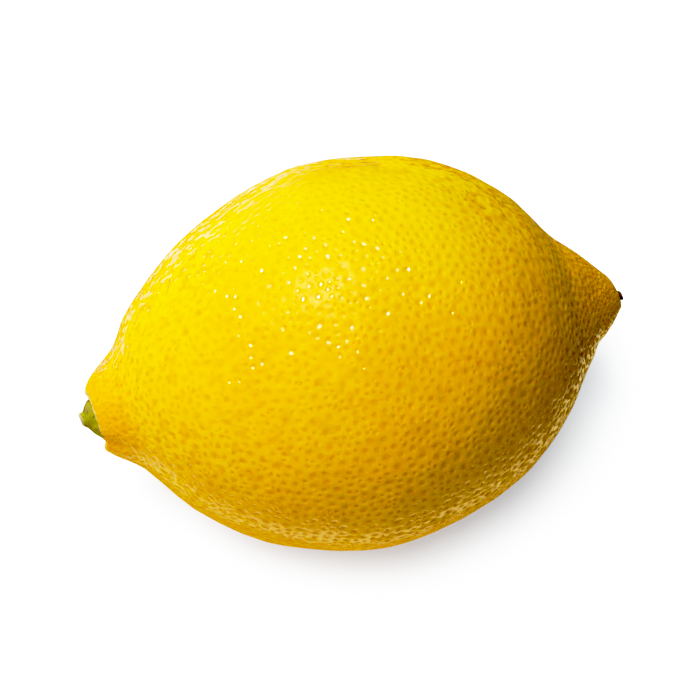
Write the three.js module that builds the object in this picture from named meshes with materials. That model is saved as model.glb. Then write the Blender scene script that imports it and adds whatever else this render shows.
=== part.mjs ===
// A whole ripe lemon, picked and lying on its side. Millimetres.
// +X runs along the fruit from the stem end to the nippled flower end, +Z is up.
// The origin is the middle of the small flat spot that the fruit rests on.
// Three pieces grew apart from each other: the fruit, the calyx button left at the stem end,
// and the dried remnant of the style at the flower end.

import * as THREE from 'three';
import { ConvexHull } from 'three/addons/math/ConvexHull.js';

const { clamp, degToRad, euclideanModulo, lerp, smoothstep } = THREE.MathUtils;

// ---- Driving dimensions ----

const GIRTH_RADIUS = 30;        // the fruit's largest radius
const REST_DEPTH = 0.45;        // how much the weight flattens the peel that it rests on
const AXIS_HEIGHT = GIRTH_RADIUS - REST_DEPTH;
const CLEARANCE = 0.35;         // under the two pieces set into the fruit
const HOLLOW_FLOOR = -39.35;    // of the hollow that holds the button, along the axis
const SOCKET_FLOOR = 41.1;      // of the socket that holds the style

// The peel's outline from pole to pole: [along the axis, out from the axis].
const PEEL_OUTLINE = [
  [HOLLOW_FLOOR, 0], [HOLLOW_FLOOR, 2.7], [-40.1, 3.45], [-41, 4],    // hollow of the button
  [-40.85, 4.9], [-40.1, 5.85], [-38.6, 7.15], [-36.7, 8.5],          // collar round it, and neck
  [-35, 10.15], [-33.4, 12.55], [-30.9, 15.6], [-27, 19.45],          // shoulder
  [-21, 23.8], [-13, 27.5], [-5, 29.6], [-0.5, GIRTH_RADIUS],         // body
  [6, 29.5], [14, 27.7], [21, 24.55], [27, 20.1],
  [30.8, 15.85], [33.2, 12.2], [35, 10.15], [37.2, 7.7],              // shoulder and nipple
  [39.4, 5.35], [41.2, 3.35], [42.15, 1.8], [42, 1.15],
  [41.35, 0.95], [SOCKET_FLOOR, 0],                                   // socket of the style
];

// The fruit isn't quite round its axis. LEAN_ANGLE is the way it leans, turned from +Y to +Z.
// Angles round the fruit are counted from there, and towards +Z.
const LEAN_ANGLE = degToRad(29.1);
// Each lean shifts the cross-sections near "at" by "by", fading over "over".
const LEANS = [
  { at: -33, by: 0.6, over: 2.2 },
  { at: -18, by: -0.3, over: 9 },
  { at: 16, by: 0.32, over: 8 },
  { at: 33, by: -0.6, over: 3 },
  { at: 41.2, by: -0.5, over: 3 },
];
// The hollow and the socket lie to one side, and their rims are tipped, as a slope.
// Both fade between these radii.
const HOLLOW = { shift: -0.8, tilt: -0.13, inner: 4, outer: 6.5 };
const SOCKET = { shift: 0, tilt: -0.2, inner: 1.3, outer: 3.3 };

// Broad low facets round the body.
const FACETS = [
  { count: 3, height: 0.28, twist: 3 / 26, phase: 0.4 },
  { count: 5, height: 0.14, twist: -5 / 19, phase: -0.9 },
];

// Furrows run down the neck from the button's hollow and part the collar into lobes.
const FURROWS = [
  { angle: 52, depth: 0.2, width: 15 },
  { angle: 140, depth: 0.9, width: 9 },
  { angle: 214, depth: 0.7, width: 11 },
  { angle: 271, depth: 0.85, width: 12 },
  { angle: 326, depth: 0.65, width: 12 },
];
const FURROW_START = -35.5;     // the furrows deepen from here
const FURROW_FULL = -39.2;      // and have their full depth here
const FURROW_INSIDE = [2.6, 3.6];       // radii between which they come up out of the hollow

// A crease sets the nipple off from the body on one side.
const CREASE = { at: 37.5, width: 0.7, depth: 0.36, angle: 180 };

// Points of the peel's mesh lie closer together towards the poles.
const PEEL_SPACING = 1.92;
const STEM_SPACING = 0.62;      // at the stem's pole
const STEM_GROWTH = 0.078;      // added for each millimetre away from it
const TIP_SPACING = 0.34;       // at the style's pole
const TIP_GROWTH = 0.105;
const OUTLINE_STEPS = 3000;

// Oil glands dimple the peel. They are drawn larger than life.
const GLAND_DEPTH = 0.15;       // of a gland's dimple, as a share of the spacing
const GLAND_LEAST_SPACING = 1.2;        // no glands are drawn where the mesh is finer
const SEED = 4711;

// The calyx button: [out from its base, out from its axis].
const BUTTON_OUTLINE = [
  [0, 0], [0, 1.6], [0.05, 2.45], [0.35, 2.85], [0.85, 3.05], [1.3, 2.9], [1.75, 2.5],   // sepals
  [2.15, 2], [2.45, 1.5], [2.75, 1.22], [3.05, 1.1], [3.25, 0.95],                       // stalk
  [3.3, 0.7], [3.14, 0.4], [3.08, 0],                                                    // scar
];
const BUTTON_RINGS = 20;
const BUTTON_SECTORS = 50;
const BUTTON_LEAN = -0.78;
const BUTTON_BEND = 0.5;        // how far the stalk's scar lies off the base's axis
const SEPALS = { count: 5, height: 0.9, spread: 0.9, from: 1.2, to: 2.6, lobe: 0.085, groove: 0.22 };

// The style's remnant: [out from its base, out from its axis].
const STYLE_OUTLINE = [
  [0, 0], [0, 0.42], [0.2, 0.6], [0.75, 0.6], [1.25, 0.72], [1.5, 0.52], [1.4, 0],
];
const STYLE_RINGS = 8;
const STYLE_SECTORS = 14;
const STYLE_LEAN = -0.55;
const STYLE_BEND = -0.12;
const STYLE_OVAL = 0.12;        // how far its broken end is from round

// ---- Shared geometry ----

// A point given along the axis, along the lean, and square to both.
function place(along, lean, side) {
  const y = lean * Math.cos(LEAN_ANGLE) - side * Math.sin(LEAN_ANGLE);
  const z = lean * Math.sin(LEAN_ANGLE) + side * Math.cos(LEAN_ANGLE);
  return new THREE.Vector3(along, y, AXIS_HEIGHT + z);
}

function bump(distance, width) {
  return Math.exp(-((distance / width) ** 2));
}

function angleBetween(a, b) {
  return Math.abs(euclideanModulo(a - b + Math.PI, 2 * Math.PI) - Math.PI);
}

function seededRandom(seed) {
  let state = seed;
  return () => {
    state = (state + 0x6d2b79f5) | 0;
    let t = Math.imul(state ^ (state >>> 15), 1 | state);
    t = (t + Math.imul(t ^ (t >>> 7), 61 | t)) ^ t;
    return ((t ^ (t >>> 14)) >>> 0) / 2 ** 32;
  };
}

function curveThrough(outline) {
  return new THREE.CatmullRomCurve3(outline.map(([along, out]) => new THREE.Vector3(along, out, 0)));
}

function geometryFrom(points, faces) {
  const geometry = new THREE.BufferGeometry();
  const coordinates = points.flatMap((point) => point.toArray());
  geometry.setAttribute('position', new THREE.Float32BufferAttribute(coordinates, 3));
  geometry.setIndex(faces.flat());
  geometry.computeVertexNormals();
  return geometry;
}

// ---- The fruit ----

// Walks along the outline and notes, at each step, the point, its outward normal, how many mesh
// points the peel needs up to there, and its height on a cylinder that the peel maps to conformally.
function walkOutline() {
  const points = curveThrough(PEEL_OUTLINE).getPoints(OUTLINE_STEPS);
  const steps = points.slice(1).map((point, i) => point.clone().sub(points[i]));
  const whole = steps.reduce((sum, step) => sum + step.length(), 0);
  const stations = [];
  let walked = 0;
  let count = 0;
  let height = 0;
  steps.forEach((step, i) => {
    const length = step.length();
    const middle = points[i].clone().lerp(points[i + 1], 0.5);
    walked += length;
    const spacing = Math.min(
      PEEL_SPACING,
      STEM_SPACING + STEM_GROWTH * walked,
      TIP_SPACING + TIP_GROWTH * (whole - walked),
    );
    const pointArea = spacing * spacing * Math.sin(Math.PI / 3);
    count += (2 * Math.PI * middle.y * length) / pointArea;
    height += length / middle.y;
    stations.push({
      along: middle.x,
      out: middle.y,
      normalAlong: -step.y / length,
      normalOut: step.x / length,
      spacing,
      count,
      height,
    });
  });
  const equator = stations.reduce((a, b) => (b.out > a.out ? b : a)).height;
  for (const station of stations) station.height -= equator;
  return stations;
}

// The station up to which the peel needs that many mesh points.
function stationAt(stations, count) {
  let low = 0;
  let high = stations.length - 1;
  while (high - low > 1) {
    const middle = (low + high) >> 1;
    if (stations[middle].count < count) low = middle;
    else high = middle;
  }
  const [a, b] = [stations[low], stations[high]];
  const share = clamp((count - a.count) / (b.count - a.count), 0, 1);
  return Object.fromEntries(Object.keys(a).map((key) => [key, lerp(a[key], b[key], share)]));
}

// How far the peel stands out from its outline: facets, neck furrows and the nipple's crease.
function relief({ along, out }, angle) {
  let height = 0;
  for (const { count, height: facet, twist, phase } of FACETS) {
    height += facet * (out / GIRTH_RADIUS) * Math.sin(count * angle) * Math.cos(along * twist + phase);
  }
  const neck = smoothstep(-along, -FURROW_START, -FURROW_FULL) * smoothstep(out, ...FURROW_INSIDE);
  for (const furrow of FURROWS) {
    const away = angleBetween(angle, degToRad(furrow.angle));
    height -= furrow.depth * neck * bump(away, degToRad(furrow.width));
  }
  const towards = (1 + Math.cos(angle - degToRad(CREASE.angle))) / 2;
  height -= CREASE.depth * towards ** 2 * bump(along - CREASE.at, CREASE.width);
  return height;
}

// The point of the peel at a station and an angle, sunk below the surface by "sunk".
function peelPoint(station, angle, sunk) {
  const height = relief(station, angle) - sunk;
  const out = station.out + station.normalOut * height;
  const end = station.along < 0 ? HOLLOW : SOCKET;
  const near = 1 - smoothstep(station.out, end.inner, end.outer);
  let lean = out * Math.cos(angle) + end.shift * near;
  const along = station.along + station.normalAlong * height + end.tilt * near * lean;
  for (const { at, by, over } of LEANS) lean += by * bump(station.along - at, over);
  const point = place(along, lean, out * Math.sin(angle));
  point.z = Math.max(point.z, 0);       // flat where the fruit rests
  return point;
}

// A gland sits at every mesh point, taken in random order, that has no gland beside it.
function chooseGlands(seeds, faces) {
  const beside = seeds.map(() => new Set());
  for (const [a, b, c] of faces) {
    beside[a].add(b).add(c);
    beside[b].add(c).add(a);
    beside[c].add(a).add(b);
  }
  const random = seededRandom(SEED);
  const order = seeds.map((_, i) => ({ i, key: random() })).sort((a, b) => a.key - b.key);
  const glands = new Set();
  for (const { i } of order) {
    const crowded = [...beside[i]].some((j) => glands.has(j));
    if (!crowded && seeds[i].station.spacing > GLAND_LEAST_SPACING) glands.add(i);
  }
  return glands;
}

// Points wind round the peel by the golden angle. The conformal map carries them to a sphere,
// where the convex hull joins each to its nearest neighbours.
function makeFruit() {
  const stations = walkOutline();
  const total = Math.round(stations.at(-1).count);
  const goldenAngle = Math.PI * (3 - Math.sqrt(5));
  const sphere = [];
  const seeds = [];
  const numberOf = new Map();
  for (let i = 0; i < total; i++) {
    const station = stationAt(stations, i + 0.5);
    const angle = i * goldenAngle;
    const ring = 1 / Math.cosh(station.height);
    const along = Math.tanh(station.height);
    const onSphere = new THREE.Vector3(along, ring * Math.cos(angle), ring * Math.sin(angle));
    numberOf.set(onSphere, i);
    sphere.push(onSphere);
    seeds.push({ station, angle });
  }
  const faces = new ConvexHull().setFromPoints(sphere).faces.map(({ edge }) => {
    return [edge, edge.next, edge.next.next].map((side) => numberOf.get(side.head().point));
  });
  const glands = chooseGlands(seeds, faces);
  const points = seeds.map(({ station, angle }, i) => {
    return peelPoint(station, angle, glands.has(i) ? GLAND_DEPTH * station.spacing : 0);
  });
  return geometryFrom(points, faces);
}

// ---- The two pieces set into the fruit ----

// A closed solid turned about an axis. shape(up, out, angle) gives each point its place.
function turnedSolid(outline, rings, sectors, shape) {
  const profile = curveThrough(outline).getSpacedPoints(rings);
  const points = [shape(profile[0].x, 0, 0)];
  for (let i = 1; i < rings; i++) {
    for (let j = 0; j < sectors; j++) {
      points.push(shape(profile[i].x, profile[i].y, (2 * Math.PI * j) / sectors));
    }
  }
  points.push(shape(profile[rings].x, 0, 0));
  const last = points.length - 1;
  const at = (ring, sector) => 1 + (ring - 1) * sectors + (sector % sectors);
  const faces = [];
  for (let j = 0; j < sectors; j++) {
    faces.push([0, at(1, j + 1), at(1, j)]);
    for (let i = 1; i < rings - 1; i++) {
      faces.push([at(i, j), at(i + 1, j + 1), at(i + 1, j)]);
      faces.push([at(i, j), at(i, j + 1), at(i + 1, j + 1)]);
    }
    faces.push([at(rings - 1, j), at(rings - 1, j + 1), last]);
  }
  return geometryFrom(points, faces);
}

// The button points away from the fruit, towards -X: sepals in lobes round the stalk's scar.
function makeButton() {
  const base = HOLLOW_FLOOR - CLEARANCE;
  const height = BUTTON_OUTLINE.at(-1)[0];
  return turnedSolid(BUTTON_OUTLINE, BUTTON_RINGS, BUTTON_SECTORS, (up, out, angle) => {
    const lobes = Math.cos(SEPALS.count * angle);
    const onSepals = bump(up - SEPALS.height, SEPALS.spread) * smoothstep(out, SEPALS.from, SEPALS.to);
    const groove = SEPALS.groove * onSepals * Math.max(0, -lobes) ** 3;
    const radius = out * (1 + SEPALS.lobe * lobes * onSepals);
    const lean = BUTTON_LEAN + radius * Math.cos(angle) + BUTTON_BEND * (up / height) ** 2;
    return place(base - up + groove + HOLLOW.tilt * lean, lean, -radius * Math.sin(angle));
  });
}

function makeStyle() {
  const base = SOCKET_FLOOR + CLEARANCE;
  const height = STYLE_OUTLINE.at(-1)[0];
  return turnedSolid(STYLE_OUTLINE, STYLE_RINGS, STYLE_SECTORS, (up, out, angle) => {
    const radius = out * (1 + STYLE_OVAL * Math.sin(2 * angle + 1) * (up / height));
    const lean = radius * Math.cos(angle) + STYLE_BEND * (up / height) ** 2;
    return place(base + up + SOCKET.tilt * lean, STYLE_LEAN + lean, radius * Math.sin(angle));
  });
}

// ---- The lemon ----

function piece(name, geometry, color, roughness) {
  const material = new THREE.MeshStandardMaterial({ color, roughness, metalness: 0 });
  const mesh = new THREE.Mesh(geometry, material);
  mesh.name = name;
  return mesh;
}

const lemon = new THREE.Group();
lemon.add(
  piece('fruit', makeFruit(), 0xf5cd06, 0.42),
  piece('calyx_button', makeButton(), 0x9ea01c, 0.75),
  piece('style_stub', makeStyle(), 0x2e1c10, 0.85),
);

export default lemon;
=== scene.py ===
"""A whole ripe lemon lying on its side on a pale studio floor. Metres.

+X runs along the fruit from the stem end to the nippled flower end, +Z is up, and the origin is
the middle of the flat spot that the fruit rests on. Outlines are kept in millimetres, as a grower
would measure them, and turned into metres when a mesh is made.
"""

import math

import bpy
import numpy as np
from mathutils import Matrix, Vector
from mathutils.geometry import delaunay_2d_cdt


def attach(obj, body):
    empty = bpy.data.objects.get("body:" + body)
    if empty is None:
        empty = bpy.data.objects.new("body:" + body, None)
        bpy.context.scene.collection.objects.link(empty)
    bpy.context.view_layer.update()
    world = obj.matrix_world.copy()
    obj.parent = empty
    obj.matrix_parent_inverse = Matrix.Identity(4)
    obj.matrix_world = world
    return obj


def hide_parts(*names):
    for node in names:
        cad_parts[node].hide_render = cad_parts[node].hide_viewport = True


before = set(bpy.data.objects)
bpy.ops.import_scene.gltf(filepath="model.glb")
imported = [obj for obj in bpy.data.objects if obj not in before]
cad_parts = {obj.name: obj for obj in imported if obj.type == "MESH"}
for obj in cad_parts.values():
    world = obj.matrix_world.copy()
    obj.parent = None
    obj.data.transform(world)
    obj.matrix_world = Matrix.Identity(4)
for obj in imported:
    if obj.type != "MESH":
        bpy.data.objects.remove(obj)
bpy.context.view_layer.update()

MM = 0.001
TURN = 2 * math.pi
GOLDEN_ANGLE = math.pi * (3 - math.sqrt(5))

# ---- The fruit's measures, in millimetres ----

GIRTH_RADIUS = 30.0
REST_DEPTH = 0.45               # how deep the flat spot is
AXIS_HEIGHT = GIRTH_RADIUS - REST_DEPTH
CLEARANCE = 0.35                # under the two pieces set into the fruit
HOLLOW_FLOOR = -39.35
SOCKET_FLOOR = 41.1
LEAN_ANGLE = math.radians(29.1)  # the lean's direction, turned up from +Y

# The peel's outline from pole to pole: (along the axis, out from the axis).
PEEL_OUTLINE = [
    (HOLLOW_FLOOR, 0), (HOLLOW_FLOOR, 2.7), (-40.1, 3.45), (-41, 4),
    (-40.85, 4.9), (-40.1, 5.85), (-38.6, 7.15), (-36.7, 8.5),
    (-35, 10.15), (-33.4, 12.55), (-30.9, 15.6), (-27, 19.45),
    (-21, 23.8), (-13, 27.5), (-5, 29.6), (-0.5, GIRTH_RADIUS),
    (6, 29.5), (14, 27.7), (21, 24.55), (27, 20.1),
    (30.8, 15.85), (33.2, 12.2), (35, 10.15), (37.2, 7.7),
    (39.4, 5.35), (41.2, 3.35), (42.15, 1.8), (42, 1.15),
    (41.35, 0.95), (SOCKET_FLOOR, 0),
]
OUTLINE_STEPS = 3000
# Where cross-sections shift along the lean: (at, by, fading over).
LEANS = [(-33, 0.6, 2.2), (-18, -0.3, 9), (16, 0.32, 8), (33, -0.6, 3), (41.2, -0.5, 3)]
# The hollow and the socket: (shift, slope, inner radius, outer radius).
HOLLOW = (-0.8, -0.13, 4, 6.5)
SOCKET = (0, -0.2, 1.3, 3.3)
# Broad low facets: (count, height, twist, phase).
FACETS = [(3, 0.28, 3 / 26, 0.4), (5, 0.14, -5 / 19, -0.9)]
# Furrows of the neck: (angle in degrees, depth, width in degrees).
FURROWS = [(52, 0.2, 15), (140, 0.9, 9), (214, 0.7, 11), (271, 0.85, 12), (326, 0.65, 12)]
FURROW_START = -35.5
FURROW_FULL = -39.2
FURROW_INSIDE = (2.6, 3.6)
CREASE_AT, CREASE_WIDTH, CREASE_DEPTH = 37.5, 0.7, 0.36
CREASE_SIDE = math.pi           # the crease is deepest on the side away from the lean
SKIN_DROP = 0.06                # keeps the finer peel inside the solid's box
# Gentle waves of the skin: how many, how high, how long from crest to crest (shortest, longest).
SWELL_WAVES, SWELL_HEIGHT, SWELL_LENGTHS = 40, 0.035, (3.5, 9)
SWELL_FADE = (3, 12)            # out from the axis: no waves nearer, all of them farther out
SWELL_SEED = 29

# Spacing of the oil glands: at each end, what each millimetre away from it adds, and the widest.
STEM_SPACING, STEM_GROWTH = 0.5, 0.062
TIP_SPACING, TIP_GROWTH = 0.3, 0.075
GLAND_SPACING = 1.6
GLAND_SCATTER = 0.45            # of a spacing
GLAND_SEED = 4711
EVENING_ROUNDS = 4
EVENING_SHARE = 0.5             # of the way to the middle of a gland's neighbours, each round
POLE_RADII = (0.5, 0.3)         # where the peel's mesh closes to a point
POLE_SIDES = 9
POLE_GAP = 0.25                 # kept free of glands beside each closing ring, on the strip
RING_TURN = 0.05                # how far the closing rings are turned, in radians
RING_TWIST = 0.3                # and the second one past the first


# ---- Shared geometry ----

def curve_through(points, steps):
    """Evenly numbered points on the centripetal curve that passes through all of these."""
    points = np.array(points, float)
    first = 2 * points[0] - points[1]
    last = 2 * points[-1] - points[-2]
    padded = np.vstack([first, points, last])
    t = np.linspace(0, len(points) - 1, steps + 1)
    part = np.minimum(t.astype(int), len(points) - 2)
    u = (t - part)[:, None]
    p0, p1, p2, p3 = (padded[part + k] for k in range(4))
    sides = ((p0, p1), (p1, p2), (p2, p3))
    d0, d1, d2 = (np.linalg.norm(b - a, axis=1)[:, None] ** 0.5 for a, b in sides)
    m1 = ((p1 - p0) / d0 - (p2 - p0) / (d0 + d1) + (p2 - p1) / d1) * d1
    m2 = ((p2 - p1) / d1 - (p3 - p1) / (d1 + d2) + (p3 - p2) / d2) * d1
    return (
        (2 * u**3 - 3 * u**2 + 1) * p1 + (u**3 - 2 * u**2 + u) * m1
        + (-2 * u**3 + 3 * u**2) * p2 + (u**3 - u**2) * m2
    )


def even_points(points, count):
    """The curve's points set at equal distances along it."""
    walked = np.append(0, np.cumsum(np.linalg.norm(np.diff(points, axis=0), axis=1)))
    marks = np.linspace(0, walked[-1], count)
    return np.column_stack([np.interp(marks, walked, points[:, k]) for k in range(points.shape[1])])


def smoothstep(x, low, high):
    t = np.clip((x - low) / (high - low), 0, 1)
    return t * t * (3 - 2 * t)


def bump(distance, width):
    return np.exp(-((distance / width) ** 2))


def place(along, lean, side):
    """Points given along the axis, along the lean and square to both, in millimetres."""
    y = lean * math.cos(LEAN_ANGLE) - side * math.sin(LEAN_ANGLE)
    z = lean * math.sin(LEAN_ANGLE) + side * math.cos(LEAN_ANGLE)
    return np.stack(np.broadcast_arrays(along, y, AXIS_HEIGHT + z), axis=-1)


def mesh_object(name, points, faces):
    """A new object from points in millimetres, with its faces turned outwards."""
    points = np.asarray(points) * MM
    mesh = bpy.data.meshes.new(name)
    mesh.from_pydata(points.tolist(), [], [list(map(int, face)) for face in faces])
    mesh.validate()
    mesh.update()
    mesh.calc_loop_triangles()
    corners = np.zeros(len(mesh.loop_triangles) * 3, int)
    mesh.loop_triangles.foreach_get("vertices", corners)
    a, b, c = points[corners.reshape(-1, 3)].transpose(1, 0, 2)
    if np.einsum("ij,ij->i", a, np.cross(b, c)).sum() < 0:
        mesh.flip_normals()
    mesh.polygons.foreach_set("use_smooth", [True] * len(mesh.polygons))
    made = bpy.data.objects.new(name, mesh)
    bpy.context.scene.collection.objects.link(made)
    return made


# ---- Building node trees ----

def add_node(tree, kind, settings=None, **inputs):
    """A node with its settings, and with values or links for the inputs that are named."""
    made = tree.nodes.new(kind)
    for name, value in (settings or {}).items():
        setattr(made, name, value)
    for name, value in inputs.items():
        key = int(name[1:]) if name[0] == "_" else name.replace("_", " ")
        socket = made.inputs[key]
        if isinstance(value, bpy.types.NodeSocket):
            tree.links.new(value, socket)
        else:
            socket.default_value = value
    return made


def maths(tree, operation, a, b=0.0, c=0.0, clamp=False):
    settings = {"operation": operation, "use_clamp": clamp}
    return add_node(tree, "ShaderNodeMath", settings, _0=a, _1=b, _2=c).outputs[0]


def times(tree, a, b):
    return maths(tree, "MULTIPLY", a, b)


def times_plus(tree, a, b, c):
    return maths(tree, "MULTIPLY_ADD", a, b, c)


def larger(tree, a, b):
    return maths(tree, "MAXIMUM", a, b)


def vector_maths(tree, operation, a, b=(0, 0, 0), output="Vector"):
    return add_node(tree, "ShaderNodeVectorMath", {"operation": operation}, _0=a, _1=b).outputs[output]


def coordinates(tree, vector):
    return add_node(tree, "ShaderNodeSeparateXYZ", Vector=vector).outputs


def scaled(tree, where, scale):
    """The place with its axes scaled, which draws a pattern out along some of them."""
    return add_node(tree, "ShaderNodeMapping", Vector=where, Scale=scale).outputs[0]


def span(tree, value, low, high, to_low=0.0, to_high=1.0, kind="SMOOTHSTEP"):
    """The value's place between low and high, carried to another range."""
    settings = {"interpolation_type": kind}
    ranges = {"_1": low, "_2": high, "_3": to_low, "_4": to_high}
    return add_node(tree, "ShaderNodeMapRange", settings, _0=value, **ranges).outputs[0]


def blend(tree, share, a, b):
    """Colour a where the share is 0, colour b where it is 1."""
    return add_node(tree, "ShaderNodeMix", {"data_type": "RGBA"}, _0=share, _6=a, _7=b).outputs[2]


def noise(tree, where, scale, detail=2.0, roughness=0.5):
    values = {"Scale": scale, "Detail": detail, "Roughness": roughness}
    return add_node(tree, "ShaderNodeTexNoise", Vector=where, **values).outputs[0]


def bumped(tree, height, distance, strength=1.0):
    values = {"Strength": strength, "Distance": distance}
    return add_node(tree, "ShaderNodeBump", Height=height, **values).outputs[0]


def carried(tree, name):
    """A number that the mesh carries under this name."""
    return add_node(tree, "ShaderNodeAttribute", {"attribute_name": name}).outputs["Fac"]


def new_material(name, paint, **constants):
    """A principled material. paint(tree, where) returns its linked inputs; where is in millimetres."""
    material = bpy.data.materials.new(name)
    material.use_nodes = True
    tree = material.node_tree
    tree.nodes.clear()
    in_metres = add_node(tree, "ShaderNodeTexCoord").outputs["Object"]
    in_millimetres = scaled(tree, in_metres, (1 / MM, 1 / MM, 1 / MM))
    finish = add_node(tree, "ShaderNodeBsdfPrincipled", **constants)
    for socket, link in paint(tree, in_millimetres).items():
        tree.links.new(link, finish.inputs[socket.replace("_", " ")])
    out = add_node(tree, "ShaderNodeOutputMaterial")
    tree.links.new(finish.outputs[0], out.inputs["Surface"])
    return material


# ---- Finishes ----

# Colours: linear red, green and blue, and full cover.
GOLD = (0.94, 0.522, 0.002, 1)
DEEP_GOLD = (0.93, 0.497, 0.002, 1)
CLEAR_YELLOW = (0.93, 0.585, 0.002, 1)
ORANGE_BACK = (0.92, 0.42, 0.002, 1)
# Deeper orange towards both ends of the fruit.
END_ORANGE = (0.8, 0.36, 0.004, 1)
GLAND_ORANGE = (0.76, 0.38, 0.001, 1)
FAR_GLAND_ORANGE = (0.86, 0.38, 0.001, 1)
# Painted highlight: pale gold on the ridges of the nipple's groove, standing in for the gloss that they
# catch.
RIDGE_HIGHLIGHT = (1.0, 0.56, 0.15, 1)
# Painted shade: brown in the pits of the nipple's groove.
GROOVE_PIT_SHADE = (0.45, 0.18, 0.001, 1)
# Painted highlight: pale along the lip of the stem's hollow.
LIP_HIGHLIGHT = (0.75, 0.5, 0.2, 1)
BROWN_SPECK = (0.25, 0.1, 0.01, 1)
SEPAL_GREEN = (0.36, 0.37, 0.012, 1)
SEPAL_OLIVE = (0.3, 0.24, 0.03, 1)
SEPAL_BROWN = (0.2, 0.09, 0.015, 1)
SCAR_TAN = (0.55, 0.42, 0.2, 1)
DRY_BLACK = (0.014, 0.008, 0.004, 1)
DRY_BROWN = (0.2, 0.08, 0.02, 1)

YELLOWER_SIDE = (0.227, 0.836, 0.5)            # the side towards which the peel is a clearer yellow
HOLLOW_MIDDLE = tuple(place(HOLLOW_FLOOR, HOLLOW[0], 0))
LENGTHWISE = (0.25, 1, 1)                   # draws a pattern out along the fruit
ROUND_ABOUT = (1.6, 0.5, 0.5)               # draws a pattern out round the fruit

# Where the peel's finish changes, in millimetres: (from, to).
TOWARDS_YELLOWER = (12, 38)
STEM_DEEPENS, TIP_DEEPENS = (-33, -41), (14, 38)
STEM_WRINKLES, TIP_WRINKLES = (-33, -37), (29, 33)
STEM_SHINES, TIP_SHINES = (-40, -37), (41, 38)
STRONGER_GLANDS = (-26, 2)                  # along the fruit
FAR_SIDE = (-2, 12)                         # across the fruit
SHALLOW_SIDE = (10, 20)                     # across the fruit, where glands print less deep
GLAND_SHADE_HEIGHTS = (58, 34)                    # heights above the table, from faint glands to glands darkened by painted shade
UNEVEN_TOP = (47, 56)
WAXY_TOP = (46, 57)
OILY_TOP = (46, 52)
STREAKED_FLANK = (56, 52)
MORE_STREAKS = (42, 30)
LESS_GLOSS_BELOW = (5, 20)                  # along the fruit, on the side turned down
GROOVE_STARTS, GROOVE_ENDS = (30.6, 32), (35, 33.6)
GROOVE_SWERVE = 3.0                         # the groove lies this much nearer the stem at the back
# Where the painted highlight on the lip of the stem's hollow lies: out from the axis, and along the
# fruit.
LIP_RADIUS, LIP_ALONG = (5.0, 4.6), (-39.8, -40.4)

# Heights of the fine relief, in millimetres.
GLAND_PRINT = (-0.052, -0.02)
UNEVENNESS = (0.06, 0.13)
STEM_WRINKLE_HEIGHT, TIP_WRINKLE_HEIGHT = 0.2, 0.14
OIL_DIMPLE = -0.065
FIBRE_HEIGHT, FIBRE_STRENGTH = 0.2, 0.6

# Where it changes with the way that the skin faces: -1 is straight to the front or down, 1 is
# straight to the back or up. (from, to)
ORANGE_BEHIND = (0.45, 0.85)
GROOVE_IN_FRONT, GROOVE_BEHIND = (-0.4, -0.65), (0.0, 0.3)
TURNED_DOWN = (-0.26, -0.4)
OILY_IN_FRONT = (0.55, 0.3)

# Patterns: (scale per millimetre, detail, roughness).
CLOUDS = (0.075, 3)
GRAIN = (0.9, 1)
FOLDS = (0.8, 1)
SPECKS = (0.62, 1)
WAVY_SKIN = (0.36, 1)
GLOSS_PATCHES = (0.8, 2)
PORES = (2.4, 3, 0.6)
SEPAL_CLOUDS = (0.9, 4, 0.6)
SEPAL_BLOTCHES = (1.3, 2)
SEPAL_GRAIN = (5, 4, 0.7)
DRY_FIBRE = (3, 4, 0.7)

# How strongly things show. Pairs: (at the first place, at the second).
END_ORANGE_SHARE = 0.7
GLANDS_BY_LENGTH = (0.85, 1.0)
# Across the fruit and by height, how strongly the glands show is painted shade: stronger towards the
# front and low down, where light grazes, fainter at the back and on top.
GLAND_SHADE_BY_SIDE = (1.0, 0.4)
GLAND_SHADE_BY_HEIGHT = (0.12, 0.95)
# How strongly the painted highlight on the groove's ridges, the painted shade in its pits and the
# painted highlight on the hollow's lip show.
RIDGE_HIGHLIGHT_SHARE, GROOVE_PIT_SHADE_SHARE, LIP_HIGHLIGHT_SHARE = 0.6, 0.4, 0.8
OIL_SHARE = 0.8
PATCH_GLOSS = (0.1, 0.42)
TIP_GLOSS = (0.3, 1.0)
GLOSS_LOST = (0.0, -0.85)
STREAKS_ADDED = (0.0, 0.12)
SKIN_ROUGHNESS = (0.07, 0.36)
PORE_ROUGHNESS = 0.03
SOFT_SKIN = (1.0, 0.2)                      # light that soaks in: smooth skin, wrinkled skin


def survey_peel(tree, where):
    """Where a point of the peel lies on the fruit, and which way round its axis it faces."""
    along, aside, high = coordinates(tree, where)
    outward = scaled(tree, vector_maths(tree, "SUBTRACT", where, HOLLOW_MIDDLE), (0, 1, 1))
    _, back, up = coordinates(tree, vector_maths(tree, "NORMALIZE", outward))
    return {
        "along": along, "aside": aside, "high": high, "back": back, "up": up,
        "from axis": vector_maths(tree, "LENGTH", outward, output="Value"),
        "towards_yellower": vector_maths(tree, "DOT_PRODUCT", where, YELLOWER_SIDE, output="Value"),
    }


def wrinkle_groove(tree, where, lies):
    """How wrinkled the skin is in the groove round the nipple, from 0 to 1."""
    groove = times_plus(tree, larger(tree, lies["back"], 0.0), GROOVE_SWERVE, lies["along"])
    groove = times(tree, span(tree, groove, *GROOVE_STARTS), span(tree, groove, *GROOVE_ENDS))
    in_front = span(tree, lies["back"], *GROOVE_IN_FRONT)
    behind = span(tree, lies["back"], *GROOVE_BEHIND)
    groove = times(tree, groove, larger(tree, in_front, behind))
    folds = span(tree, noise(tree, scaled(tree, where, ROUND_ABOUT), *FOLDS), 0.35, 0.5)
    return times(tree, groove, folds)


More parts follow.
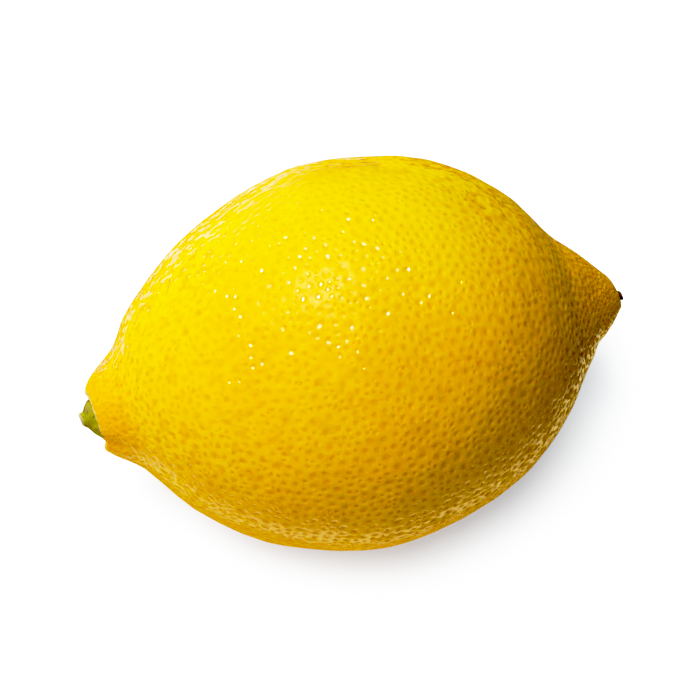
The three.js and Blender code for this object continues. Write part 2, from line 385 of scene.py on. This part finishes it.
def colour_peel(tree, where, lies, gland, groove):
    """Golden yellow, deeper in the glands, towards both ends and round the back; some painted shade and
    highlights.
    """
    along, aside, high = lies["along"], lies["aside"], lies["high"]
    cloud = span(tree, noise(tree, where, *CLOUDS), 0.35, 0.68)
    yellow = blend(tree, cloud, GOLD, DEEP_GOLD)
    yellow = blend(tree, span(tree, lies["towards_yellower"], *TOWARDS_YELLOWER), yellow, CLEAR_YELLOW)
    yellow = blend(tree, span(tree, lies["back"], *ORANGE_BEHIND), yellow, ORANGE_BACK)
    ends = larger(tree, span(tree, along, *STEM_DEEPENS), span(tree, along, *TIP_DEEPENS))
    yellow = blend(tree, times(tree, ends, END_ORANGE_SHARE), yellow, END_ORANGE)

    # The glands' deeper orange is their own colour; the extra strength low down and at the front is
    # painted shade.
    gland_and_shade = span(tree, gland, 0.15, 0.95)
    gland_and_shade = times(tree, gland_and_shade, span(tree, along, *STRONGER_GLANDS, *GLANDS_BY_LENGTH))
    gland_and_shade = times(tree, gland_and_shade, span(tree, aside, *FAR_SIDE, *GLAND_SHADE_BY_SIDE))
    gland_and_shade = times(tree, gland_and_shade, span(tree, high, *GLAND_SHADE_HEIGHTS, *GLAND_SHADE_BY_HEIGHT))
    orange = blend(tree, span(tree, aside, *FAR_SIDE), GLAND_ORANGE, FAR_GLAND_ORANGE)
    colour = blend(tree, gland_and_shade, yellow, orange)

    # Painted highlight on the ridges of the nipple's groove.
    ridge_highlight = times(tree, groove, span(tree, gland, 0.5, 0.1, 0.0, RIDGE_HIGHLIGHT_SHARE))
    colour = blend(tree, ridge_highlight, colour, RIDGE_HIGHLIGHT)
    # Painted shade in the pits of the groove.
    hollow = times(tree, groove, times(tree, span(tree, gland, 0.2, 0.9), GROOVE_PIT_SHADE_SHARE))
    colour = blend(tree, hollow, colour, GROOVE_PIT_SHADE)
    # Painted highlight along the lip of the stem's hollow.
    lip_highlight = span(tree, lies["from axis"], *LIP_RADIUS, 0.0, LIP_HIGHLIGHT_SHARE)
    colour = blend(tree, times(tree, lip_highlight, span(tree, along, *LIP_ALONG)), colour, LIP_HIGHLIGHT)
    speck = span(tree, noise(tree, where, *SPECKS), 0.83, 0.86)
    return blend(tree, speck, colour, BROWN_SPECK)


def press_peel(tree, where, lies, sunk, grain):
    """Fine relief: sunken glands on uneven skin, wrinkled at both ends."""
    along, aside, high = lies["along"], lies["aside"], lies["high"]
    pressed = times(tree, sunk, span(tree, aside, *SHALLOW_SIDE, *GLAND_PRINT))
    uneven = span(tree, high, *UNEVEN_TOP, *UNEVENNESS)
    height = times_plus(tree, noise(tree, where, *WAVY_SKIN), uneven, pressed)
    tip = span(tree, along, *TIP_WRINKLES, 0.0, TIP_WRINKLE_HEIGHT)
    stem = span(tree, along, *STEM_WRINKLES, 0.0, STEM_WRINKLE_HEIGHT)
    return times_plus(tree, grain, larger(tree, tip, stem), height)


def gloss_peel(tree, where, lies, grain):
    """How strongly the skin shines: in patches on top, in drawn-out streaks on the flanks."""
    along, high = lies["along"], lies["high"]
    patches = span(tree, noise(tree, where, *GLOSS_PATCHES), 0.38, 0.62, *PATCH_GLOSS)
    more = span(tree, high, *MORE_STREAKS, *STREAKS_ADDED)
    streaks = span(tree, maths(tree, "ADD", grain, more), 0.55, 0.61)
    glossy = times(tree, span(tree, along, *STEM_SHINES), span(tree, along, *TIP_SHINES, *TIP_GLOSS))
    turned_down = span(tree, lies["up"], *TURNED_DOWN)
    less = times(tree, span(tree, along, *LESS_GLOSS_BELOW, *GLOSS_LOST), turned_down)
    streaks = times(tree, streaks, times_plus(tree, glossy, less, glossy))
    flank = span(tree, high, *STREAKED_FLANK)
    return times_plus(tree, flank, maths(tree, "SUBTRACT", streaks, patches), patches)


def paint_peel(tree, where):
    """Waxy lemon peel with its glands, a few brown specks, and drops of oil in the glands on top."""
    lies = survey_peel(tree, where)
    gland = carried(tree, "gland")
    grain = noise(tree, scaled(tree, where, LENGTHWISE), *GRAIN)
    groove = wrinkle_groove(tree, where, lies)

    sunk = span(tree, gland, 0.2, 0.9)
    wet = times(tree, sunk, span(tree, carried(tree, "oily"), 0.2, 0.3))
    skin = press_peel(tree, where, lies, sunk, grain)
    drop = times_plus(tree, wet, OIL_DIMPLE, skin)
    oiled = span(tree, lies["high"], *OILY_TOP, 0.0, OIL_SHARE)
    oiled = times(tree, oiled, span(tree, lies["back"], *OILY_IN_FRONT))
    pores = noise(tree, where, *PORES)
    waxy = span(tree, lies["high"], *WAXY_TOP, *SKIN_ROUGHNESS)
    return {
        "Base_Color": colour_peel(tree, where, lies, gland, groove),
        "Roughness": times_plus(tree, pores, PORE_ROUGHNESS, waxy),
        "Specular_IOR_Level": gloss_peel(tree, where, lies, grain),
        "Normal": bumped(tree, skin, MM),
        "Coat_Weight": times(tree, wet, oiled),
        "Coat_Normal": bumped(tree, drop, MM),
        "Subsurface_Weight": span(tree, groove, 0.0, 1.0, *SOFT_SKIN),
    }


def paint_button(tree, where):
    """Green sepals round a tan scar."""
    cloud = span(tree, noise(tree, where, *SEPAL_CLOUDS), 0.35, 0.65)
    green = blend(tree, cloud, SEPAL_GREEN, SEPAL_OLIVE)
    blotch = span(tree, noise(tree, where, *SEPAL_BLOTCHES), 0.56, 0.66)
    green = blend(tree, blotch, green, SEPAL_BROWN)
    fine = noise(tree, where, *SEPAL_GRAIN)
    return {
        "Base_Color": blend(tree, carried(tree, "scar"), green, SCAR_TAN),
        "Roughness": span(tree, fine, 0.3, 0.7, 0.6, 0.85),
        "Normal": bumped(tree, fine, FIBRE_HEIGHT * MM, FIBRE_STRENGTH),
    }


def paint_style(tree, where):
    """Dry brown fibre."""
    fibre = noise(tree, where, *DRY_FIBRE)
    return {
        "Base_Color": blend(tree, span(tree, fibre, 0.35, 0.65), DRY_BLACK, DRY_BROWN),
        "Roughness": span(tree, fibre, 0.3, 0.7, 0.7, 0.9),
        "Normal": bumped(tree, fibre, FIBRE_HEIGHT * MM, FIBRE_STRENGTH),
    }


PEEL = new_material(
    "lemon peel", paint_peel,
    Subsurface_Scale=0.5 * MM, Subsurface_Radius=(1.0, 0.9, 0.1),
    Coat_Roughness=0.055, Coat_IOR=1.8,
    Specular_Tint=(1, 0.95, 0.62, 1),
)
BUTTON = new_material("green calyx", paint_button)
STYLE = new_material("dried style", paint_style)


# ---- The fruit ----

def walk_outline():
    """Stations along the outline: place, outward normal, gland spacing, count and strip height."""
    points = curve_through(PEEL_OUTLINE, OUTLINE_STEPS)
    step = np.diff(points, axis=0)
    length = np.linalg.norm(step, axis=1)
    along, out = ((points[1:] + points[:-1]) / 2).T
    walked = np.cumsum(length)
    spacing = np.minimum(GLAND_SPACING, STEM_SPACING + STEM_GROWTH * walked)
    spacing = np.minimum(spacing, TIP_SPACING + TIP_GROWTH * (walked[-1] - walked))
    count = np.cumsum(TURN * out * length / (spacing**2 * math.sin(math.pi / 3)))
    height = np.cumsum(length / out)
    height -= height[np.argmax(out)]
    return {
        "along": along, "out": out,
        "normal_along": -step[:, 1] / length, "normal_out": step[:, 0] / length,
        "spacing": spacing, "count": count, "height": height,
    }


def swell(points):
    """Slight unevenness of the skin, as a sum of gentle waves."""
    rng = np.random.default_rng(SWELL_SEED)
    height = np.zeros(len(points))
    for _ in range(SWELL_WAVES):
        heading = rng.standard_normal(3)
        heading *= TURN / np.linalg.norm(heading) / rng.uniform(*SWELL_LENGTHS)
        height += np.sin(points @ heading + rng.uniform(0, TURN))
    return height * SWELL_HEIGHT * math.sqrt(2 / SWELL_WAVES)


def relief(along, out, angle):
    """How far the peel stands out from its outline: facets, neck furrows and the nipple's crease."""
    around = np.column_stack([along, out * np.cos(angle), out * np.sin(angle)])
    height = swell(around) * smoothstep(out, *SWELL_FADE)
    for count, facet, twist, phase in FACETS:
        height += facet * (out / GIRTH_RADIUS) * np.sin(count * angle) * np.cos(along * twist + phase)
    neck = smoothstep(-along, -FURROW_START, -FURROW_FULL) * smoothstep(out, *FURROW_INSIDE)
    for degrees, depth, width in FURROWS:
        away = (angle - math.radians(degrees) + math.pi) % TURN - math.pi
        height -= depth * neck * bump(away, math.radians(width))
    towards = (1 + np.cos(angle - CREASE_SIDE)) / 2
    height -= CREASE_DEPTH * towards**2 * bump(along - CREASE_AT, CREASE_WIDTH)
    return height


def peel_points(stations, height, angle):
    """Points of the peel at heights on the strip and angles round the fruit."""
    at = {key: np.interp(height, stations["height"], stations[key]) for key in stations}
    stands = relief(at["along"], at["out"], angle) - SKIN_DROP
    out = at["out"] + at["normal_out"] * stands
    shift, slope, inner, outer = (np.where(at["along"] < 0, a, b) for a, b in zip(HOLLOW, SOCKET))
    near = 1 - smoothstep(at["out"], inner, outer)
    lean = out * np.cos(angle) + shift * near
    along = at["along"] + at["normal_along"] * stands + slope * near * lean
    for where, by, over in LEANS:
        lean = lean + by * bump(at["along"] - where, over)
    points = place(along, lean, out * np.sin(angle))
    points[:, 2] = np.maximum(points[:, 2], 0)
    return points


def strip_triangles(angle, height):
    """Triangles between nearest neighbours on a strip that closes round the fruit."""
    count = len(angle)
    turned = np.concatenate([angle, np.where(angle < math.pi, angle + TURN, angle - TURN)])
    flat = [Vector(pair) for pair in zip(turned, np.tile(height, 2))]
    points, _, faces, sources, _, _ = delaunay_2d_cdt(flat, [], [], 0, 0.0)
    if len(points) != len(flat):
        raise RuntimeError("the peel's strip merged points")
    source = np.array([each[0] for each in sources])
    faces = source[np.array(faces)]
    middle = turned[faces].mean(axis=1)
    return faces[(middle >= 0) & (middle < TURN)] % count


def wind_glands(stations):
    """Gland centres wound round the strip by the golden angle, then shaken out of line."""
    rng = np.random.default_rng(GLAND_SEED)
    total = int(stations["count"][-1])
    rank = np.arange(total) + 0.5
    height = np.interp(rank, stations["count"], stations["height"])
    angle = np.arange(total) * GOLDEN_ANGLE % TURN
    reach = np.interp(height, stations["height"], stations["spacing"] / stations["out"])
    angle = (angle + reach * GLAND_SCATTER * rng.standard_normal(total)) % TURN
    height = height + reach * GLAND_SCATTER * rng.standard_normal(total)
    return angle, height


def scatter_glands(stations):
    """Gland centres on the strip, evened out a little, with a closing ring at each pole."""
    angle, height = wind_glands(stations)
    ends = []
    for radius, side in zip(POLE_RADII, (1, -1)):
        ring = stations["out"][::side]
        ends.append(stations["height"][::side][np.argmax(ring > radius)])
    inside = (height > ends[0] + POLE_GAP) & (height < ends[1] - POLE_GAP)
    angle, height = angle[inside], height[inside]
    free = len(angle)
    ring_angle = np.arange(POLE_SIDES) * TURN / POLE_SIDES + RING_TURN
    angle = np.concatenate([angle, ring_angle, ring_angle + RING_TWIST])
    height = np.concatenate([height, np.full(POLE_SIDES, ends[0]), np.full(POLE_SIDES, ends[1])])
    for _ in range(EVENING_ROUNDS):
        faces = strip_triangles(angle, height)
        pairs = np.vstack([faces[:, [0, 1]], faces[:, [1, 2]], faces[:, [2, 0]]])
        pairs = np.vstack([pairs, pairs[:, ::-1]])
        pull = np.zeros((len(angle), 2))
        across = (angle[pairs[:, 1]] - angle[pairs[:, 0]] + math.pi) % TURN - math.pi
        np.add.at(pull[:, 0], pairs[:, 0], across)
        np.add.at(pull[:, 1], pairs[:, 0], height[pairs[:, 1]] - height[pairs[:, 0]])
        pull /= np.bincount(pairs[:, 0], minlength=len(angle))[:, None]
        angle[:free] = (angle[:free] + EVENING_SHARE * pull[:free, 0]) % TURN
        height[:free] += EVENING_SHARE * pull[:free, 1]
    return angle, height, strip_triangles(angle, height)


def peel_sheet():
    """The closed peel with one point at each gland's middle."""
    stations = walk_outline()
    angle, height, faces = scatter_glands(stations)
    points = peel_points(stations, height, angle)
    count = len(points)
    low_ring = np.arange(count - 2 * POLE_SIDES, count - POLE_SIDES)
    high_ring = low_ring + POLE_SIDES
    points = np.vstack([points, points[low_ring].mean(axis=0), points[high_ring].mean(axis=0)])
    fans = [(a, b, count) for a, b in zip(np.roll(low_ring, -1), low_ring)]
    fans += [(a, b, count + 1) for a, b in zip(high_ring, np.roll(high_ring, -1))]
    return mesh_object("peel", points, np.vstack([faces, fans]))


RIM_SHARE = 0.15                # of a gland's depth lies in its rounded rim
DEPTH_SKEW = 1.3                # above 1, shallow glands are more common than deep ones
GLAND_WALL = 0.5                # the wall's share in the number that is 1 on a gland's floor
# Where the glands are deeper or shallower, in metres: (from, to).
LOW_ON_THE_FRUIT = (55 * MM, 15 * MM)
ON_THE_FAR_SIDE = (10 * MM, 20 * MM)
NEAR_THE_STEM = (-25 * MM, 0.0)
NEAR_THE_TIP = (27 * MM, 33 * MM)
# How many times as deep they are there.
TOP_DEPTH = 0.5
LOW_DEPTH = (2.3, 3.4)          # towards the stem, and on the rest
FAR_DEPTH_ADDED = 1.3
STEM_DEPTH, TIP_DEPTH = 0.45, 2.0


def gland_depth(tree, chance, given):
    """A cell's gland depth as a share of the cell's size."""
    along, aside, high = coordinates(tree, add_node(tree, "GeometryNodeInputPosition").outputs[0])
    chance = maths(tree, "POWER", chance, DEPTH_SKEW)
    deep = span(tree, chance, 0.0, 1.0, given["Shallowest"], given["Deepest"], "LINEAR")
    lowest = span(tree, along, *NEAR_THE_STEM, *LOW_DEPTH)
    below = span(tree, high, *LOW_ON_THE_FRUIT, TOP_DEPTH, lowest)
    behind = span(tree, aside, *ON_THE_FAR_SIDE, 0.0, FAR_DEPTH_ADDED)
    deep = times(tree, deep, maths(tree, "ADD", below, behind))
    stem = span(tree, along, *NEAR_THE_STEM, STEM_DEPTH, 1.0)
    tip = span(tree, along, *NEAR_THE_TIP, 1.0, TIP_DEPTH)
    return times(tree, deep, times(tree, stem, tip))


def keep_number(tree, geometry, domain, name, value):
    """The geometry with this number kept on its faces or points."""
    settings = {"data_type": "FLOAT", "domain": domain}
    values = {"Geometry": geometry, "Name": name, "_3": value}
    return add_node(tree, "GeometryNodeStoreNamedAttribute", settings, **values).outputs[0]


def push_faces(tree, mesh, faces, offset):
    """Each of these faces pushed along its normal, with walls of its own."""
    values = {"Mesh": mesh, "Selection": faces, "Offset_Scale": offset, "Individual": True}
    return add_node(tree, "GeometryNodeExtrudeMesh", {"mode": "FACES"}, **values).outputs


def shrink_faces(tree, geometry, faces, share):
    """Each of these faces shrunk about its own middle."""
    settings = {"domain": "FACE", "scale_mode": "UNIFORM"}
    values = {"Geometry": geometry, "Selection": faces, "Scale": share}
    return add_node(tree, "GeometryNodeScaleElements", settings, **values).outputs[0]


def gland_tree(material):
    """Geometry Nodes: turns each point into a cell of peel with one sunken gland."""
    tree = bpy.data.node_groups.new("gland cells", "GeometryNodeTree")
    new_socket = tree.interface.new_socket
    new_socket("Geometry", in_out="INPUT", socket_type="NodeSocketGeometry")
    identifiers = {}
    for name in ("Narrowest gland", "Widest gland", "Floor share", "Shallowest", "Deepest"):
        identifiers[name] = new_socket(name, in_out="INPUT", socket_type="NodeSocketFloat").identifier
    identifiers["Seed"] = new_socket("Seed", in_out="INPUT", socket_type="NodeSocketInt").identifier
    new_socket("Geometry", in_out="OUTPUT", socket_type="NodeSocketGeometry")
    given = add_node(tree, "NodeGroupInput").outputs

    def random(low, high, shift):
        """A number for each cell. A shift of the seed makes it a draw of its own."""
        values = {"_2": low, "_3": high, "Seed": maths(tree, "ADD", given["Seed"], shift)}
        return add_node(tree, "FunctionNodeRandomValue", {"data_type": "FLOAT"}, **values).outputs[1]

    cells = add_node(tree, "GeometryNodeDualMesh", Mesh=given["Geometry"]).outputs[0]
    area = add_node(tree, "GeometryNodeInputMeshFaceArea").outputs[0]
    depth = gland_depth(tree, random(0.0, 1.0, shift=1.0), given)
    depth = times(tree, maths(tree, "SQRT", area), depth)
    cells = keep_number(tree, cells, "FACE", "depth", depth)
    cells = keep_number(tree, cells, "FACE", "oily", random(0.0, 1.0, shift=2.0))
    kept = add_node(tree, "GeometryNodeInputNamedAttribute", {"data_type": "FLOAT"}, Name="depth")
    depth = kept.outputs[0]
    rim = push_faces(tree, cells, True, times(tree, depth, -RIM_SHARE))
    width = random(given["Narrowest gland"], given["Widest gland"], shift=0.0)
    rimmed = shrink_faces(tree, rim["Mesh"], rim["Top"], width)
    pit = push_faces(tree, rimmed, rim["Top"], times(tree, depth, RIM_SHARE - 1))
    sunk = shrink_faces(tree, pit["Mesh"], pit["Top"], given["Floor share"])
    inside = maths(tree, "ADD", times(tree, pit["Side"], GLAND_WALL), pit["Top"], clamp=True)
    marked = keep_number(tree, sunk, "POINT", "gland", inside)
    smooth = add_node(tree, "GeometryNodeSetShadeSmooth", Geometry=marked).outputs[0]
    real = add_node(tree, "GeometryNodeRealizeInstances", Geometry=smooth).outputs[0]
    finished = add_node(tree, "GeometryNodeSetMaterial", Geometry=real, Material=material).outputs[0]
    add_node(tree, "NodeGroupOutput", Geometry=finished)
    return tree, identifiers


def grow(sheet, tree, identifiers, values, name):
    """Runs the tree on a mesh and keeps the result as a plain piece."""
    modifier = sheet.modifiers.new("grow", "NODES")
    modifier.node_group = tree
    for key, value in values.items():
        modifier[identifiers[key]] = value
    bpy.context.view_layer.update()
    evaluated = sheet.evaluated_get(bpy.context.evaluated_depsgraph_get())
    mesh = bpy.data.meshes.new_from_object(evaluated)
    sheet.modifiers.remove(modifier)
    bpy.data.objects.remove(sheet)
    mesh.name = name
    made = bpy.data.objects.new(name, mesh)
    bpy.context.scene.collection.objects.link(made)
    return made


def make_fruit():
    """The peel, with a gland pressed into each of its cells."""
    tree, identifiers = gland_tree(PEEL)
    glands = {
        "Narrowest gland": 0.42, "Widest gland": 0.58, "Floor share": 0.16,
        "Shallowest": 0.024, "Deepest": 0.052, "Seed": 7,
    }
    return grow(peel_sheet(), tree, identifiers, glands, "dimpled_peel")


# ---- The two pieces set into the fruit ----

# Outlines from the seat outwards: (up from the seat, out from the piece's own axis).
BUTTON_OUTLINE = [
    (0, 0), (0, 1.6), (0.05, 2.45), (0.35, 2.85), (0.85, 3.05),
    (1.3, 2.9), (1.75, 2.5), (2.15, 2), (2.45, 1.5), (2.75, 1.22),
    (3.05, 1.1), (3.23, 0.95), (3.28, 0.7), (3.12, 0.4), (3.06, 0),
]
STYLE_OUTLINE = [(0, 0), (0, 0.42), (0.2, 0.6), (0.75, 0.6), (1.2, 0.72), (1.42, 0.52), (1.33, 0)]
TURNED_STEPS = 600
SEPALS = 5
SEPAL_MIDDLE, SEPAL_SPREAD = 0.9, 0.9       # up from the seat
SEPAL_OUT = (1.2, 2.6)
SEPAL_BULGE = 0.085
SEPAL_GROOVE = 0.22
SCAR_FROM = (2.9, 3.1)
BUTTON_LEAN, BUTTON_BEND = -0.78, 0.5
STYLE_LEAN, STYLE_BEND = -0.55, -0.12
STYLE_OVAL = 0.12


def turned_piece(name, outline, rings, sectors, shape):
    """A closed piece turned about an axis. shape(up, out, angle) gives the points' places."""
    profile = even_points(curve_through(outline, TURNED_STEPS), rings + 1)
    angle = np.arange(sectors) * TURN / sectors
    up, out = (np.repeat(profile[1:-1, k], sectors) for k in range(2))
    body = shape(up, out, np.tile(angle, rings - 1))
    poles = [shape(profile[k, 0:1], np.zeros(1), np.zeros(1)) for k in (0, -1)]
    points = np.vstack([poles[0], body, poles[1]])
    last = len(points) - 1

    def at(ring, sector):
        return 1 + (ring - 1) * sectors + sector % sectors

    faces = []
    for j in range(sectors):
        faces.append([0, at(1, j + 1), at(1, j)])
        faces += [[at(i, j), at(i, j + 1), at(i + 1, j + 1), at(i + 1, j)] for i in range(1, rings - 1)]
        faces.append([at(rings - 1, j), at(rings - 1, j + 1), last])
    return mesh_object(name, points, faces), up


def make_button():
    """Sepals in lobes round the stalk's scar, pointing away from the fruit."""
    tall = BUTTON_OUTLINE[-1][0]

    def shape(up, out, angle):
        lobes = np.cos(SEPALS * angle)
        on_sepals = bump(up - SEPAL_MIDDLE, SEPAL_SPREAD) * smoothstep(out, *SEPAL_OUT)
        groove = SEPAL_GROOVE * on_sepals * np.maximum(0, -lobes) ** 3
        radius = out * (1 + SEPAL_BULGE * lobes * on_sepals)
        lean = BUTTON_LEAN + radius * np.cos(angle) + BUTTON_BEND * (up / tall) ** 2
        along = HOLLOW_FLOOR - CLEARANCE - up + groove + HOLLOW[1] * lean
        return place(along, lean, -radius * np.sin(angle))

    button, up = turned_piece("calyx_sepals", BUTTON_OUTLINE, 60, 120, shape)
    scar = button.data.attributes.new("scar", "FLOAT", "POINT")
    scar.data.foreach_set("value", smoothstep(np.concatenate([[0], up, [tall]]), *SCAR_FROM))
    button.data.materials.append(BUTTON)
    return button


def make_style():
    """The dried remnant of the flower's style, a bent oval stub."""
    tall = STYLE_OUTLINE[-1][0]

    def shape(up, out, angle):
        radius = out * (1 + STYLE_OVAL * np.sin(2 * angle + 1) * up / tall)
        lean = radius * np.cos(angle) + STYLE_BEND * (up / tall) ** 2
        along = SOCKET_FLOOR + CLEARANCE + up + SOCKET[1] * lean
        return place(along, lean + STYLE_LEAN, radius * np.sin(angle))

    style, _ = turned_piece("dried_stub", STYLE_OUTLINE, 30, 48, shape)
    style.data.materials.append(STYLE)
    return style


for piece, node, slot in (
    (make_fruit(), "fruit", "peel"),
    (make_button(), "calyx_button", "calyx"),
    (make_style(), "style_stub", "dried_style"),
):
    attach(piece, "root")
    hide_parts(node)


# ---- The studio ----

SOFTBOX_DISTANCE = 1.5
# Lamps: (name, direction from the fruit, half angle in degrees, strength). Only the spark shows in
# the gloss of the skin.
SOFTBOXES = [
    ("key", (-0.70, 0.20, 0.67), 42, 0.74),
    ("overhead", (0.0, 0.38, 0.92), 30, 0.09),
    ("spark", (-0.18, 0.20, 0.96), 6.5, 0.62),
    ("front", (-0.38, -0.84, 0.38), 24, 0.315),
    ("back", (0.1, 0.90, 0.35), 24, 0.27),
]
TABLE_LAMP = ("table", (-0.20, -0.20, 0.96), 14, 3.7)   # lights the table alone
# Glowing strips out of the picture: (distance, heading in degrees, depth, width, radiance).
STRIPS = [(95, 112, 70, 120, 1.4), (190, 107, 120, 100, 2.8)]
ROOM_GLOW = 0.02

FLOOR_REACH = 4000
FOOTPRINT = (43, 30)                        # half the fruit's length and width
BLACK = (0, 0, 0, 1)
PAPER_WHITE, PAPER_GREY = (0.4, 0.4, 0.4, 1), (0.39, 0.39, 0.39, 1)
PAPER_CLOUDS = (0.02, 2)                    # (scale per millimetre, detail)
TABLE_BOUNCE = (0.1, 0.085, 0.05, 1)        # what the fruit sees of the lit table
FRUIT_GLOW = (1.2, 1.0, 0.38, 1)            # yellow light on the table under the fruit's edge
STEM_GLOW = (0.7, 0.42, 0.04, 1)            # and further under it, towards the stem
TIP_GLOW = (0.3, 0.18, 0.02, 1)             # and towards the tip
STEM_TO_TIP = (0, 28)                       # along the fruit, in millimetres
TABLE_GLOW = 0.44
EVEN_GLOW = (TABLE_GLOW, TABLE_GLOW, TABLE_GLOW, 1)
COOL_GLOW = (TABLE_GLOW * 0.86, TABLE_GLOW * 0.96, TABLE_GLOW * 1.03, 1)
CONTACT_SHADE = (0.06, 0.05, 0.04, 1)
# Rings on the table round the fruit, as multiples of its footprint: (from, to).
SHADE_ENDS = (0.15, 0.6)
BOUNCE_STARTS, BOUNCE_ENDS = (0.85, 1.3), (1.9, 4.2)
FRUIT_GLOW_STARTS, FRUIT_GLOW_ENDS = (0.98, 1.14), (1.2, 1.66)
COOL_ENDS = (1.4, 2.6)

# The camera stands in front, a little to the left. Degrees and millimetres.
CAMERA_ELEVATION, CAMERA_AZIMUTH = 60, -15.2
CAMERA_DISTANCE = 500
CAMERA_LENS, CAMERA_SENSOR = 167.9, 36
AIM_HEIGHT, AIM_RIGHT, AIM_UP = 29.5, -0.54, 0.63

BLACK_LEVEL = 0.045
# The picture's tone curve: (light, shown), with a soft shoulder for the brightest parts.
TONE_CURVE = [
    (0, 0), (0.3, 0.295), (0.65, 0.66), (0.86, 0.79), (1.04, 0.87),
    (1.25, 0.94), (1.6, 0.99), (1.9, 1), (2.2, 1),
]


def paint_floor(tree, where):
    """White to the camera. The fruit sees a grey table, so that its shaded side stays dark."""
    fitted = scaled(tree, where, (1 / FOOTPRINT[0], 1 / FOOTPRINT[1], 1))
    away = vector_maths(tree, "LENGTH", fitted, output="Value")
    along = coordinates(tree, where)[0]
    seen = add_node(tree, "ShaderNodeLightPath").outputs["Is Camera Ray"]

    near = times(tree, span(tree, away, *BOUNCE_STARTS), span(tree, away, *BOUNCE_ENDS, 1.0, 0.0))
    grey = blend(tree, near, BLACK, TABLE_BOUNCE)
    white = blend(tree, noise(tree, where, *PAPER_CLOUDS), PAPER_GREY, PAPER_WHITE)

    beneath = blend(tree, span(tree, along, *STEM_TO_TIP), STEM_GLOW, TIP_GLOW)
    beneath = blend(tree, span(tree, away, *FRUIT_GLOW_STARTS), beneath, FRUIT_GLOW)
    beneath = blend(tree, span(tree, away, *FRUIT_GLOW_ENDS), beneath, BLACK)
    glow = blend(tree, span(tree, away, *COOL_ENDS), COOL_GLOW, EVEN_GLOW)
    glow = blend(tree, span(tree, away, *SHADE_ENDS), CONTACT_SHADE, glow)
    return {
        "Base_Color": blend(tree, seen, grey, white),
        "Emission_Color": blend(tree, seen, beneath, glow),
    }


def add_floor():
    """A table that reaches far past the picture's edges."""
    corners = [(x * FLOOR_REACH, y * FLOOR_REACH, 0) for x, y in ((-1, -1), (1, -1), (1, 1), (-1, 1))]
    floor = mesh_object("floor", corners, [(0, 1, 2, 3)])
    constants = {"Roughness": 0.9, "Specular_IOR_Level": 0.0, "Emission_Strength": 1.0}
    floor.data.materials.append(new_material("pale floor", paint_floor, **constants))
    return floor


def add_softbox(name, direction, half_angle, strength):
    """A round lamp that faces the fruit. A white card facing it would shine with this strength."""
    lamp = bpy.data.lights.new(name, "AREA")
    radius = SOFTBOX_DISTANCE * math.tan(math.radians(half_angle))
    radiance = strength / math.sin(math.radians(half_angle)) ** 2
    lamp.shape = "DISK"
    lamp.size = 2 * radius
    lamp.energy = radiance * (math.pi * radius) ** 2
    made = bpy.data.objects.new(name, lamp)
    back = Vector(direction).normalized()
    made.location = Vector((0, 0, AXIS_HEIGHT * MM)) + back * SOFTBOX_DISTANCE
    made.rotation_mode = "QUATERNION"
    made.rotation_quaternion = back.to_track_quat("Z", "Y")
    made.visible_camera = False
    made.visible_glossy = name == "spark"
    bpy.context.scene.collection.objects.link(made)
    return made


def add_strip(distance, heading, deep, wide, radiance):
    """A glowing strip lying on the table, facing up. It only shows in the gloss of the skin."""
    lamp = bpy.data.lights.new("strip", "AREA")
    lamp.shape = "RECTANGLE"
    lamp.size = wide * MM
    lamp.size_y = deep * MM
    lamp.energy = radiance * math.pi * wide * deep * MM**2
    made = bpy.data.objects.new("strip", lamp)
    heading = math.radians(heading)
    made.location = Vector((distance * math.cos(heading), distance * math.sin(heading), 1)) * MM
    made.rotation_euler = (math.pi, 0, heading - math.pi / 2)
    made.visible_camera = False
    made.visible_diffuse = False
    bpy.context.scene.collection.objects.link(made)


def add_world():
    """Pale surroundings for the camera, and a dim room for everything else."""
    world = bpy.data.worlds.new("studio")
    bpy.context.scene.world = world
    world.use_nodes = True
    tree = world.node_tree
    tree.nodes.clear()
    seen = add_node(tree, "ShaderNodeLightPath").outputs["Is Camera Ray"]
    strength = span(tree, seen, 0.0, 1.0, ROOM_GLOW, 1.0, "LINEAR")
    light = add_node(tree, "ShaderNodeBackground", Color=(1, 1, 1, 1), Strength=strength).outputs[0]
    add_node(tree, "ShaderNodeOutputWorld", Surface=light)


def add_camera():
    """A long lens that looks down on the fruit."""
    elevation, azimuth = math.radians(CAMERA_ELEVATION), math.radians(CAMERA_AZIMUTH)
    level = math.cos(elevation)
    back = Vector((math.sin(azimuth) * level, -math.cos(azimuth) * level, math.sin(elevation)))
    turn = back.to_track_quat("Z", "Y")
    right, up = turn @ Vector((1, 0, 0)), turn @ Vector((0, 1, 0))
    data = bpy.data.cameras.new("camera")
    data.sensor_width = CAMERA_SENSOR
    data.lens = CAMERA_LENS
    made = bpy.data.objects.new("camera", data)
    aim = Vector((0, 0, AIM_HEIGHT)) + AIM_RIGHT * right + AIM_UP * up
    made.location = (aim + CAMERA_DISTANCE * back) * MM
    made.rotation_mode = "QUATERNION"
    made.rotation_quaternion = turn
    bpy.context.scene.collection.objects.link(made)
    bpy.context.scene.camera = made


def add_contrast():
    """The picture's finish: plain colours with slightly crushed blacks."""
    view = bpy.context.scene.view_settings
    view.view_transform = "Standard"
    view.use_curve_mapping = True
    tones = view.curve_mapping
    tones.clip_max_x = TONE_CURVE[-1][0]
    tones.black_level = (BLACK_LEVEL,) * 3
    points = tones.curves[3].points
    points[0].location, points[1].location = TONE_CURVE[0], TONE_CURVE[-1]
    for light, shown in TONE_CURVE[1:-1]:
        points.new(light, shown)
    points[-1].handle_type = points[-2].handle_type = "VECTOR"
    tones.update()


table = add_floor()
for strip in STRIPS:
    add_strip(*strip)
for softbox in SOFTBOXES:
    add_softbox(*softbox)
lit_alone = bpy.data.collections.new("table alone")
lit_alone.objects.link(table)
add_softbox(*TABLE_LAMP).light_linking.receiver_collection = lit_alone
add_world()
add_camera()
add_contrast()
